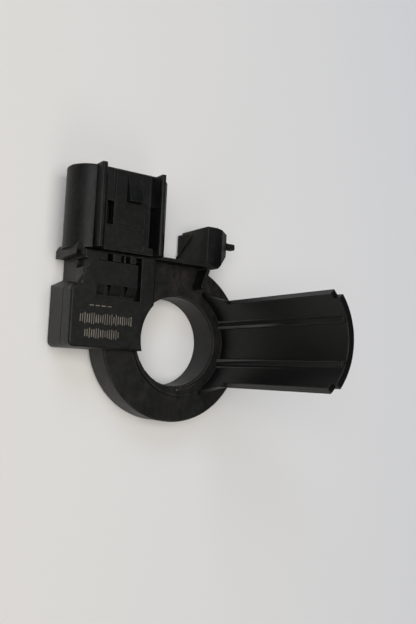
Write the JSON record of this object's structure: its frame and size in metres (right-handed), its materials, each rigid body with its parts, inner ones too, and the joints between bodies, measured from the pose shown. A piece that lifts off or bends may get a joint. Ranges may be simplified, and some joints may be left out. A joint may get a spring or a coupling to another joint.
{
  "type": "battery current sensor",
  "caption": "Black moulded ring sensor for a battery cable, with an electronics bay, a shrouded connector, a faceted side tower and a long quarter-pipe cable guide.",
  "frame": {"origin": "on the axis of the round cable aperture, in the flat underside of the ring", "axes": "+Z along the aperture's axis towards the cable guide's free end, +Y out of the connector's mouth, +X towards the cable guide"},
  "size_m": [0.0547, 0.0634, 0.0591],
  "materials": {
    "housing_plastic": "satin",
    "cover_plastic": "satin",
    "carrier_plastic": "satin",
    "core_steel": "rolled",
    "foam": "matte foam",
    "board": "solder mask",
    "chip_body": "matte",
    "tin": "tin plate",
    "capacitor_ceramic": "ceramic",
    "resistor_glaze": "glaze",
    "terminal_tin": "tin plate"
  },
  "bodies": {
    "root": {"housing": "housing_plastic", "cover": "cover_plastic", "terminal_carrier": "carrier_plastic", "core_sheet_1": "core_steel", "core_sheet_2": "core_steel", "core_sheet_3": "core_steel", "core_sheet_4": "core_steel", "core_sheet_5": "core_steel", "core_sheet_6": "core_steel", "core_sheet_7": "core_steel", "lower_core_pad": "foam", "upper_core_pad": "foam", "circuit_board": "board", "hall_sensor": "chip_body", "signal_chip": "chip_body", "hall_sensor_leads": "tin", "signal_chip_leads": "tin", "capacitor_1": "capacitor_ceramic", "capacitor_2": "capacitor_ceramic", "capacitor_3": "capacitor_ceramic", "capacitor_4": "capacitor_ceramic", "resistor_1": "resistor_glaze", "resistor_2": "resistor_glaze", "resistor_3": "resistor_glaze", "terminal_1": "terminal_tin", "terminal_2": "terminal_tin", "terminal_3": "terminal_tin"}
  },
  "joints": []
}
